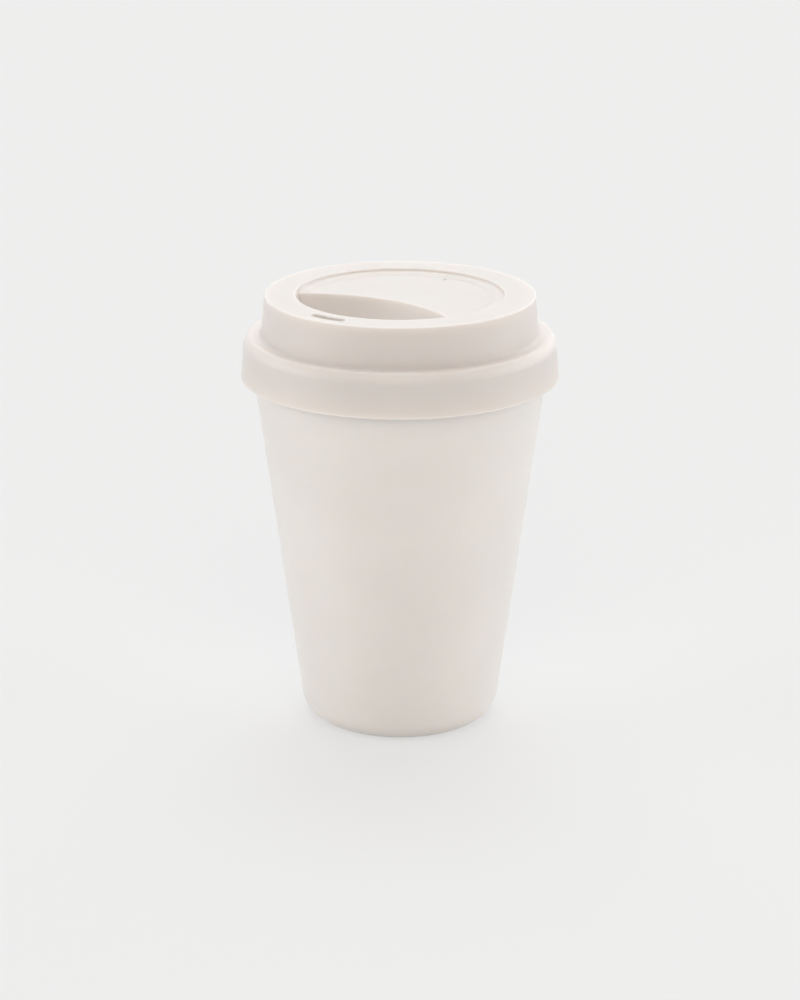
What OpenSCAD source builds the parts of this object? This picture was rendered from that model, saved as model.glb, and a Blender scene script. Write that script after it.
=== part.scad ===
// Take-away mug with two plastic walls and a press-on drinking lid.
// Millimetres, +Z up, origin on the axis at the plane that the mug stands on.
// The lid's drinking slot faces -Y. Sections are drawn as [radius, height].

/* [Outer shell] */
// Outer diameter of the tapered wall where it would meet the table
foot_d = 55.6; // [52:0.2:60]
// Outer diameter of the tapered wall at its top edge
shell_top_d = 85.8; // [84:0.2:88]
// Height of the shell's top edge above the table
shell_h = 110; // [90:1:130]
// Thickness of the shell's side wall
shell_wall = 1.6; // [1.2:0.1:2.2]
// Thickness of the shell's bottom
shell_bottom = 2.2; // [1.6:0.1:3]
// Radius of the rounded foot
foot_round = 7.6; // [4:0.2:9]
// Diameter of the shallow recess under the bottom
base_recess_d = 34; // [20:1:38]
// Depth of the recess under the bottom
base_recess = 0.8; // [0.4:0.1:1.2]

/* [Inner liner] */
// Height of the liner's rim collar above the shell's edge
collar_h = 3; // [2.4:0.1:4]
// Gap between the two walls at the shell's top edge
gap_top = 0.4; // [0.3:0.05:0.8]
// Gap between the two walls at the height of the liner's floor
gap_bottom = 4.4; // [2:0.2:6]
// Height of the liner's floor above the table
liner_floor_z = 7.2; // [6:0.2:12]
// Thickness of the liner's side wall
liner_wall = 1.5; // [1:0.1:1.8]
// Thickness of the liner's floor
liner_bottom = 1.7; // [1.2:0.1:2.4]
// Radius of the inside corner at the floor
liner_round = 7; // [4:0.5:9]
// Rounding of the rim's outer edge
rim_round_out = 1.2; // [0.6:0.1:1.3]
// Rounding of the rim's inner edge
rim_round_in = 0.8; // [0.4:0.1:1]

/* [Lid] */
// Height of the lid's top ring above the mug's rim
lid_rise = 13.9; // [12:0.1:18]
// How far the raised wall's foot stands inside the edge of the mug's mouth
raised_in = 0.25; // [0:0.05:0.6]
// Draft of the raised wall in degrees
raised_draft = 4.8; // [2:0.1:7]
// Thickness of the raised wall
raised_wall = 2; // [1.6:0.1:2.4]
// Width of the top ring
ring_w = 8.9; // [8.6:0.1:12]
// Thickness of the lid's top
top_t = 2; // [1.6:0.1:2.4]
// Height of the shoulder above the rim at the raised wall's foot
shoulder_h = 2.2; // [1.8:0.1:2.6]
// Rounding of the corner between the shoulder and the raised wall
shoulder_round = 1; // [0.3:0.1:1.5]
// Height of the shoulder's outer edge above the rim, before it is rounded
crest_h = 2.3; // [2:0.1:2.7]
// How far that edge stands out from the rim
crest_out = 0.3; // [0:0.1:0.6]
// Rounding of the shoulder's outer edge
crest_round = 1.5; // [0.6:0.1:1.7]
// How far the bend between shoulder and skirt stands out from the rim
bend_out = 1.8; // [1.6:0.1:2.2]
// How far the bend lies below the shoulder's outer edge
bend_drop = 1.8; // [1.6:0.1:2.2]
// Radius of the bend between shoulder and skirt
bend_round = 4; // [2:0.5:4.5]
// How far the skirt's bottom edge stands out from the rim
skirt_out = 2.7; // [2.4:0.1:3.4]
// How far the skirt reaches below the rim
skirt_drop = 10.3; // [8:0.1:12]
// Thickness of the skirt at its bottom edge
skirt_wall = 1.8; // [1.4:0.1:2.2]
// Rounding of the top ring's inner edge
ring_in_round = 0.3; // [0.1:0.05:0.35]
// Rounding of the lid's other edges
edge_round = 0.4; // [0.2:0.05:0.6]

/* [Plug] */
// How far the plug wall reaches into the mouth below the rim
plug_drop = 8; // [6:0.5:10]
// Thickness of the plug wall
plug_wall = 1.8; // [1.4:0.1:2.2]
// Clearance between lid and mug, all round
lid_gap = 0.3; // [0.25:0.05:0.4]
// How far each sealing bead stands out of the plug wall
bead_out = 0.2; // [0.1:0.05:0.2]
// Radius of a sealing bead's section
bead_r = 0.6; // [0.4:0.1:0.8]
// Number of sealing beads
bead_count = 2; // [1:1:3]
// Distance between sealing beads, and from the rim to the first
bead_pitch = 2.2; // [1.6:0.1:2.4]

/* [Recess in the lid] */
// Height of the step from the ring down to the ledge
ring_step = 0.7; // [0.6:0.1:1]
// Rounding of the corner between that step and the ledge
step_round = 0.25; // [0.1:0.05:0.35]
// Width of the ledge inside the ring
ledge_w = 2.2; // [1.4:0.1:3]
// Width of the slope inside the ledge
slope_w = 1.7; // [1:0.1:3]
// Height of the slope inside the ledge
slope_h = 0.6; // [0.2:0.05:0.8]

/* [Lip pocket] */
// Radius of the pocket's curved back wall
pocket_arc = 45; // [40:1:60]
// Distance from the lid's axis to the back wall's edge
pocket_back = 3; // [0:0.5:8]
// Depth of the pocket below the ring
pocket_depth = 8.5; // [6:0.5:11]
// Thickness of the pocket's walls and floor
pocket_wall = 1.8; // [1.4:0.1:2.2]
// How far the pocket cuts into the ring, past the ring's inner edge
pocket_out = 0.1; // [0.05:0.05:0.4]
// Draft of the pocket's walls in degrees
pocket_draft = 15; // [3:1:18]
// Rounding of the pocket's floor corners
pocket_round = 1.6; // [0.8:0.1:2]
// Rounding of the back wall's upper edge
brow_round = 0.6; // [0.3:0.1:1]
// Angle at which the back wall's upper edge runs out through the ledge, in degrees
brow_sweep = 20; // [15:1:45]
// Rounding of the ring's edge at the pocket
lip_round = 0.3; // [0.1:0.05:0.5]

/* [Drinking slot and vent] */
// Length of the drinking slot along the ring
slot_len = 11.2; // [8:0.2:16]
// Width of the drinking slot
slot_w = 2.8; // [2:0.1:3.6]
// Distance from the pocket's outer wall to the slot
slot_inset = 1.2; // [0.4:0.1:1.4]
// Diameter of the vent hole
vent_d = 1.4; // [1:0.1:2]
// Distance from the foot of the slope to the middle of the vent hole
vent_inset = 1.2; // [1.1:0.1:4]
// How far the vent hole is turned past the point opposite the slot, in degrees
vent_turn = 4; // [-20:1:20]

/* [Hidden] */
$fn = 144;

MUG_COLOUR = [0.93, 0.92, 0.90];
LINER_COLOUR = [0.95, 0.94, 0.93];
LID_COLOUR = [0.93, 0.90, 0.88];

// How far a cutting form reaches past the face that it goes through
cut_past = 1;
// How far a rounding's circle stands past the sides it joins, so that it crosses them cleanly
round_past = 0.002;
// How far a rounding's wedge reaches past those sides
wedge_past = 0.05;

// Heights of the mug, above the table
rim_z = shell_h + collar_h;
liner_under_z = liner_floor_z - liner_bottom;

// Heights of the lid, above the mug's rim
ring_z = lid_rise;
ring_under_z = ring_z - top_t;
ledge_z = ring_z - ring_step;
plateau_z = ledge_z - slope_h;
plateau_under_z = plateau_z - top_t;
pocket_z = ring_z - pocket_depth;
bend_z = crest_h - bend_drop;
plug_z = -plug_drop;
skirt_z = -skirt_drop;

// Tapered walls: how much the radius grows with each millimetre of height
shell_taper = (shell_top_d - foot_d) / 2 / shell_h;
liner_taper = shell_taper + (gap_bottom - gap_top) / (shell_h - liner_floor_z);
raised_taper = tan(raised_draft);
pocket_taper = tan(pocket_draft);

// Width of a tapered wall's section along the radius
shell_skin = shell_wall / cos(atan(shell_taper));
liner_skin = liner_wall / cos(atan(liner_taper));

// Outer radius of the shell and inner radius of the liner, at a height above the table
rim_r = shell_top_d / 2;
liner_top_r = rim_r - shell_skin - gap_top - liner_skin;
function shell_r(z) = rim_r + shell_taper * (z - shell_h);
function liner_r(z) = liner_top_r + liner_taper * (z - shell_h);
mouth_r = liner_r(rim_z);

// Outer radii of the plug and the raised wall, at a height above the rim
function plug_r(z) = mouth_r - lid_gap + liner_taper * z;
function raised_r(z) = mouth_r - raised_in - raised_taper * (z - shoulder_h);
function pocket_lean(z) = pocket_taper * (ring_z - z);

// The ring, and what lies inside it
ring_r = raised_r(ring_z);
ring_in_r = ring_r - ring_w;
ledge_r = ring_in_r - ledge_w;
slope_r = ledge_r - slope_w;
pocket_r = ring_in_r + pocket_out;
back_r = pocket_arc - brow_round;
slot_r = pocket_r + pocket_wall + slot_inset + slot_w / 2;
slot_turn = (slot_len - slot_w) / slot_r * 180 / PI;
vent_r = slope_r - vent_inset;

// Geometry of a rounded corner at p, between its neighbours a and b
function unit(v) = v / norm(v);
function half_angle(a, p, b) = acos(unit(a - p) * unit(b - p)) / 2;
function touch(a, p, b, r) = p + unit(a - p) * r / tan(half_angle(a, p, b));
function centre(a, p, b, r) = p + unit(unit(a - p) + unit(b - p)) * r / sin(half_angle(a, p, b));
function turns_left(a, p, b) = cross(p - a, b - p) > 0;
function reversed(v) = [for (i = [len(v) - 1 : -1 : 0]) v[i]];

// What lies between a corner and the circle that rounds it
module corner_rest(a, p, b, r) {
    c = centre(a, p, b, r);
    grow = 1 + wedge_past / r;
    wedge = [c, for (v = [touch(a, p, b, r), p, touch(b, p, a, r)]) c + (v - c) * grow];
    difference() {
        polygon(turns_left(a, p, b) ? wedge : reversed(wedge));
        translate(c) circle(r + round_past);
    }
}

// A closed outline with true arcs. Each corner is [radius, height, rounding], anticlockwise.
module outline(corners) {
    n = len(corners);
    at = [for (c = corners) [c[0], c[1]]];
    before = [for (i = [0 : n - 1]) at[(i + n - 1) % n]];
    after = [for (i = [0 : n - 1]) at[(i + 1) % n]];
    rounded = [for (i = [0 : n - 1]) if (corners[i][2] > 0) i];
    convex = [for (i = rounded) if (turns_left(before[i], at[i], after[i])) i];
    concave = [for (i = rounded) if (!turns_left(before[i], at[i], after[i])) i];
    difference() {
        union() {
            polygon(at);
            for (i = concave) corner_rest(before[i], at[i], after[i], corners[i][2]);
        }
        for (i = convex) corner_rest(before[i], at[i], after[i], corners[i][2]);
    }
}

// Outer shell: one tapered cup with a rounded foot
module outer_shell() {
    recess_r = base_recess_d / 2;
    color(MUG_COLOUR) rotate_extrude() outline([
        [0, base_recess, 0],
        [recess_r - base_recess, base_recess, 0],
        [recess_r, 0, 0],
        [foot_d / 2, 0, foot_round],
        [rim_r, shell_h, 0],
        [rim_r - shell_skin, shell_h, 0],
        [shell_r(shell_bottom) - shell_skin, shell_bottom, foot_round - shell_wall],
        [0, shell_bottom, 0],
    ]);
}

// Inner liner: the drinking cup, whose collar closes the space between the walls
module inner_liner() {
    color(LINER_COLOUR) rotate_extrude() outline([
        [0, liner_under_z, 0],
        [liner_r(liner_under_z) + liner_skin, liner_under_z, liner_round + liner_wall],
        [liner_r(shell_h) + liner_skin, shell_h, 0],
        [rim_r, shell_h, 0],
        [rim_r, rim_z, rim_round_out],
        [mouth_r, rim_z, rim_round_in],
        [liner_r(liner_floor_z), liner_floor_z, liner_round],
        [0, liner_floor_z, 0],
    ]);
}

// Lid: one moulding with a raised drinking ring, a lip pocket and a skirt over the rim
module lid() {
    color(LID_COLOUR) translate([0, 0, rim_z]) difference() {
        union() {
            rotate_extrude() lid_section();
            pocket_body();
        }
        pocket_space();
        drinking_slot();
        vent();
    }
}

module lid_section() {
    outline([
        [0, plateau_under_z, 0],
        [ring_in_r, plateau_under_z, 0],
        [ring_in_r + ring_under_z - plateau_under_z, ring_under_z, 0],
        [raised_r(ring_under_z) - raised_wall, ring_under_z, raised_wall / 2],
        [raised_r(shoulder_h) - raised_wall, shoulder_h, 0],
        [plug_r(plug_z) - plug_wall, plug_z, edge_round],
        [plug_r(plug_z), plug_z, edge_round],
        [plug_r(0), 0, edge_round],
        [rim_r + lid_gap, 0, edge_round],
        [rim_r + skirt_out - skirt_wall, skirt_z, edge_round],
        [rim_r + skirt_out, skirt_z, edge_round],
        [rim_r + bend_out, bend_z, bend_round],
        [rim_r + crest_out, crest_h, crest_round],
        [raised_r(shoulder_h), shoulder_h, shoulder_round],
        [ring_r, ring_z, edge_round],
        [ring_in_r, ring_z, ring_in_round],
        [ring_in_r, ledge_z, step_round],
        [ledge_r, ledge_z, 0],
        [slope_r, plateau_z, 0],
        [0, plateau_z, 0],
    ]);
    for (i = [1 : bead_count]) sealing_bead(-i * bead_pitch);
}

module sealing_bead(z) {
    translate([plug_r(z) + bead_out - bead_r, z]) circle(bead_r);
}

// The pocket is what lies inside both its outer wall and the back wall's arc.
// grow is the wall's thickness round it, and 0 for the space itself. The tops are the
// corners of the two sections from the walls' upper ends inwards.
module pocket_form(grow, outer_top, back_top) {
    floor_z = pocket_z - grow;
    lean = pocket_lean(floor_z) - grow;
    corner = pocket_round + grow;
    intersection() {
        rotate_extrude()
            outline(concat([[0, floor_z, 0], [pocket_r - lean, floor_z, corner]], outer_top));
        translate([0, -pocket_back - pocket_arc]) rotate_extrude()
            outline(concat([[0, floor_z, 0], [back_r - lean, floor_z, corner]], back_top));
    }
}

// The body's top lies inside both the ring's and the plateau's thickness
module pocket_body() {
    top_z = (ring_under_z + plateau_z) / 2;
    pocket_form(
        pocket_wall,
        [[pocket_r - pocket_lean(top_z) + pocket_wall, top_z, 0], [0, top_z, 0]],
        [[back_r - pocket_lean(top_z) + pocket_wall, top_z, 0], [0, top_z, 0]]
    );
}

// The space's upper edges bend over into the ring and the plateau
module pocket_space() {
    top_z = ring_z + cut_past;
    lip_r = pocket_r + lip_round;
    brow_r = back_r + brow_round;
    sweep = (top_z - plateau_z) / tan(brow_sweep);
    pocket_form(
        0,
        [[pocket_r, ring_z, lip_round], [lip_r, ring_z, 0], [lip_r, top_z, 0], [0, top_z, 0]],
        [[back_r, plateau_z, brow_round], [brow_r, plateau_z, 0], [brow_r + sweep, top_z, 0], [0, top_z, 0]]
    );
}

// A curved slot with round ends, through the ring on the pocket's side
module drinking_slot() {
    ends = [-90 - slot_turn / 2, -90 + slot_turn / 2];
    translate([0, 0, ring_under_z - cut_past]) linear_extrude(top_t + 2 * cut_past) {
        for (turn = ends) rotate(turn) translate([slot_r, 0]) circle(slot_w / 2 + round_past);
        intersection() {
            difference() {
                circle(slot_r + slot_w / 2);
                circle(slot_r - slot_w / 2);
            }
            polygon([[0, 0], for (turn = ends) 2 * slot_r * [cos(turn), sin(turn)]]);
        }
    }
}

// A small hole across from the drinking slot lets air in
module vent() {
    rotate(90 + vent_turn) translate([vent_r, 0, plateau_under_z - cut_past])
        cylinder(d = vent_d, h = top_t + 2 * cut_past);
}

outer_shell();
inner_liner();
lid();
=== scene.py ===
"""Studio picture of a double-walled plastic mug with a press-on drinking lid."""

import math

import bpy
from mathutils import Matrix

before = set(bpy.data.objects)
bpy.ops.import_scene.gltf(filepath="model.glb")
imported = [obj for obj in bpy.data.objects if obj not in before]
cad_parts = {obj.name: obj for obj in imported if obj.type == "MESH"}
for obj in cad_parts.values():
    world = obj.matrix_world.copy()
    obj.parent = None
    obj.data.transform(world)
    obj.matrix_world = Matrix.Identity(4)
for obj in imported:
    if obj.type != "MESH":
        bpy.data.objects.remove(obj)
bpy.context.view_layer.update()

MM = 0.001

# Camera: it stands this far to the side of the drinking slot, and looks down at the mug
CAMERA_AZIMUTH = math.radians(35.7)
CAMERA_PITCH = math.radians(17.92)
CAMERA_DISTANCE = 900 * MM
CAMERA_HEIGHT = 356 * MM
CAMERA_LENS = 117.2
CAMERA_CLIP_START = 50 * MM
SENSOR_WIDTH = 36

# Colours of the floor, and of what the camera sees in its place
FLOOR_COLOUR = (0.93, 0.93, 0.93)
BACKGROUND_COLOUR = (0.829, 0.829, 0.829)
# Share of the background colour in what the camera sees of the floor; the rest keeps the shadow
BACKGROUND_SHARE = 0.65
FLOOR_SIZE = 8.0

# Strengths of the room: its even light, what shows of it in the gloss, and what shows behind the floor
ROOM_LIGHT = 0.3
ROOM_IN_GLOSS = 1.0
ROOM_SHOWN = 0.863

# Lamps: name, degrees from the camera's side towards its right, degrees up, strength and colour
LAMPS = [
    ("top_back", 180, 68, 0.98, (1, 1, 1)),
    ("back", 180, 40, 0.46, (0.82, 0.93, 1)),
    ("front_bounce", 0, 40, 0.80, (1, 0.90, 0.80)),
    ("right_wall", 90, 8, 0.93, (1, 1, 1)),
    ("right_back_wall", 135, 8, 0.66, (1, 1, 1)),
    ("left_wall", 270, 8, 1.12, (1, 1, 1)),
]
LAMP_WIDTH = math.radians(50)

# Finishes of the nodes: material, colour in plain light, roughness, height of the grain, depth of scattering
FINISHES = {
    "outer_shell": ("shell_plastic", (0.880, 0.848, 0.817), 0.46, 0.02 * MM, 1 * MM),
    "inner_liner": ("liner_plastic", (0.895, 0.880, 0.860), 0.34, 0.01 * MM, 1 * MM),
    "lid": ("lid_plastic", (0.806, 0.749, 0.712), 0.42, 0.02 * MM, 3 * MM),
}
PLASTIC_IOR = 1.49
SCATTER_RADIUS = (1.0, 0.9, 0.8)
# Flow marks: their size, and how much darker and lighter than the colour they are
FLOW_SIZE = 30 * MM
FLOW_DARK = 0.975
FLOW_LIGHT = 1.012
# Uneven gloss: its size, and how far the roughness swings either way
GLOSS_SIZE = 9 * MM
GLOSS_SWING = 0.04
GRAIN_SIZE = 0.5 * MM
GRAIN_STRENGTH = 0.35
# The span that most of a noise lies in
NOISE_LOW = 0.3
NOISE_HIGH = 0.7


def node(tree, kind, inputs=(), **settings):
    """A new node with its settings and the constants of its sockets."""
    made = tree.nodes.new(kind)
    for name, value in settings.items():
        setattr(made, name, value)
    for name, value in dict(inputs).items():
        made.inputs[name].default_value = value
    return made


def new_tree(owner):
    """An empty node tree for a material or a world."""
    owner.use_nodes = True
    owner.node_tree.nodes.clear()
    return owner.node_tree


def noise(tree, place, size, detail):
    """Noise whose blotches are about size metres across."""
    made = node(tree, "ShaderNodeTexNoise", {"Scale": 1 / size, "Detail": detail})
    tree.links.new(place.outputs["Object"], made.inputs["Vector"])
    return made.outputs["Fac"]


def spread(tree, value, low, high):
    """Noise stretched from its usual span to low..high."""
    made = node(tree, "ShaderNodeMapRange", {
        "From Min": NOISE_LOW,
        "From Max": NOISE_HIGH,
        "To Min": low,
        "To Max": high,
    })
    tree.links.new(value, made.inputs["Value"])
    return made.outputs["Result"]


def moulded_plastic(name, colour, roughness, grain, depth):
    """Satin plastic: faint flow marks, uneven gloss, a fine eroded grain and light scattered inside it."""
    material = bpy.data.materials.new(name)
    tree = new_tree(material)
    place = node(tree, "ShaderNodeTexCoord")
    shader = node(tree, "ShaderNodeBsdfPrincipled", {
        "IOR": PLASTIC_IOR,
        "Subsurface Weight": 1,
        "Subsurface Radius": SCATTER_RADIUS,
        "Subsurface Scale": depth,
    })

    tint = node(tree, "ShaderNodeMix", data_type="RGBA", blend_type="MIX")
    tint.inputs["A"].default_value = (*(FLOW_DARK * c for c in colour), 1)
    tint.inputs["B"].default_value = (*(FLOW_LIGHT * c for c in colour), 1)
    flow = spread(tree, noise(tree, place, FLOW_SIZE, 3), 0, 1)
    tree.links.new(flow, tint.inputs["Factor"])
    tree.links.new(tint.outputs["Result"], shader.inputs["Base Color"])

    patches = noise(tree, place, GLOSS_SIZE, 4)
    gloss = spread(tree, patches, roughness - GLOSS_SWING, roughness + GLOSS_SWING)
    tree.links.new(gloss, shader.inputs["Roughness"])

    bump = node(tree, "ShaderNodeBump", {"Strength": GRAIN_STRENGTH, "Distance": grain})
    tree.links.new(noise(tree, place, GRAIN_SIZE, 2), bump.inputs["Height"])
    tree.links.new(bump.outputs["Normal"], shader.inputs["Normal"])

    out = node(tree, "ShaderNodeOutputMaterial")
    tree.links.new(shader.outputs["BSDF"], out.inputs["Surface"])
    return material


def dress_mug():
    """Gives each CAD node its finish."""
    for name, finish in FINISHES.items():
        material = moulded_plastic(*finish)
        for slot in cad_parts[name].material_slots:
            slot.material = material


def background_share(tree):
    """The background's share for the camera and for gloss, and 0 for light on the object."""
    path = node(tree, "ShaderNodeLightPath")
    either = node(tree, "ShaderNodeMath", operation="MAXIMUM")
    tree.links.new(path.outputs["Is Camera Ray"], either.inputs[0])
    tree.links.new(path.outputs["Is Glossy Ray"], either.inputs[1])
    part = node(tree, "ShaderNodeMath", operation="MULTIPLY")
    tree.links.new(either.outputs["Value"], part.inputs[0])
    part.inputs[1].default_value = BACKGROUND_SHARE
    return part.outputs["Value"]


def make_floor():
    """A plain pale floor, which keeps a faint shadow of the mug."""
    bpy.ops.mesh.primitive_plane_add(size=FLOOR_SIZE)
    floor = bpy.context.object
    floor.name = "floor"
    material = bpy.data.materials.new("floor")
    tree = new_tree(material)
    matte = node(tree, "ShaderNodeBsdfDiffuse", {"Color": (*FLOOR_COLOUR, 1)})
    flat = node(tree, "ShaderNodeEmission", {"Color": (*BACKGROUND_COLOUR, 1)})
    mix = node(tree, "ShaderNodeMixShader")
    tree.links.new(background_share(tree), mix.inputs["Fac"])
    tree.links.new(matte.outputs["BSDF"], mix.inputs[1])
    tree.links.new(flat.outputs["Emission"], mix.inputs[2])
    out = node(tree, "ShaderNodeOutputMaterial")
    tree.links.new(mix.outputs["Shader"], out.inputs["Surface"])
    floor.data.materials.append(material)


def make_room():
    """Even white light, with a white room in the gloss and the background's tone behind the floor."""
    world = bpy.context.scene.world or bpy.data.worlds.new("studio")
    bpy.context.scene.world = world
    tree = new_tree(world)
    glow = node(tree, "ShaderNodeBackground", {"Color": (1, 1, 1, 1)})
    path = node(tree, "ShaderNodeLightPath")
    strength = node(tree, "ShaderNodeMapRange", {"To Min": ROOM_LIGHT, "To Max": ROOM_IN_GLOSS})
    tree.links.new(path.outputs["Is Glossy Ray"], strength.inputs["Value"])
    shown = node(tree, "ShaderNodeMapRange", {"To Max": ROOM_SHOWN})
    tree.links.new(path.outputs["Is Camera Ray"], shown.inputs["Value"])
    tree.links.new(strength.outputs["Result"], shown.inputs["To Min"])
    tree.links.new(shown.outputs["Result"], glow.inputs["Strength"])
    out = node(tree, "ShaderNodeOutputWorld")
    tree.links.new(glow.outputs["Background"], out.inputs["Surface"])


def make_lamps():
    """Wide soft lamps far away."""
    front = math.degrees(CAMERA_AZIMUTH)
    for name, aside, elevation, strength, colour in LAMPS:
        data = bpy.data.lights.new(name, "SUN")
        data.energy = strength
        data.angle = LAMP_WIDTH
        data.color = colour
        lamp = bpy.data.objects.new(name, data)
        lamp.rotation_euler = (math.radians(90 - elevation), 0, math.radians(front + aside))
        bpy.context.scene.collection.objects.link(lamp)


def make_camera():
    """The photograph's camera."""
    data = bpy.data.cameras.new("camera")
    data.sensor_width = SENSOR_WIDTH
    data.lens = CAMERA_LENS
    data.clip_start = CAMERA_CLIP_START
    camera = bpy.data.objects.new("camera", data)
    camera.location = (
        math.sin(CAMERA_AZIMUTH) * CAMERA_DISTANCE,
        -math.cos(CAMERA_AZIMUTH) * CAMERA_DISTANCE,
        CAMERA_HEIGHT,
    )
    camera.rotation_euler = (math.radians(90) - CAMERA_PITCH, 0, CAMERA_AZIMUTH)
    bpy.context.scene.collection.objects.link(camera)
    bpy.context.scene.camera = camera


bpy.context.scene.view_settings.view_transform = "Standard"
make_camera()
make_room()
make_lamps()
make_floor()
dress_mug()
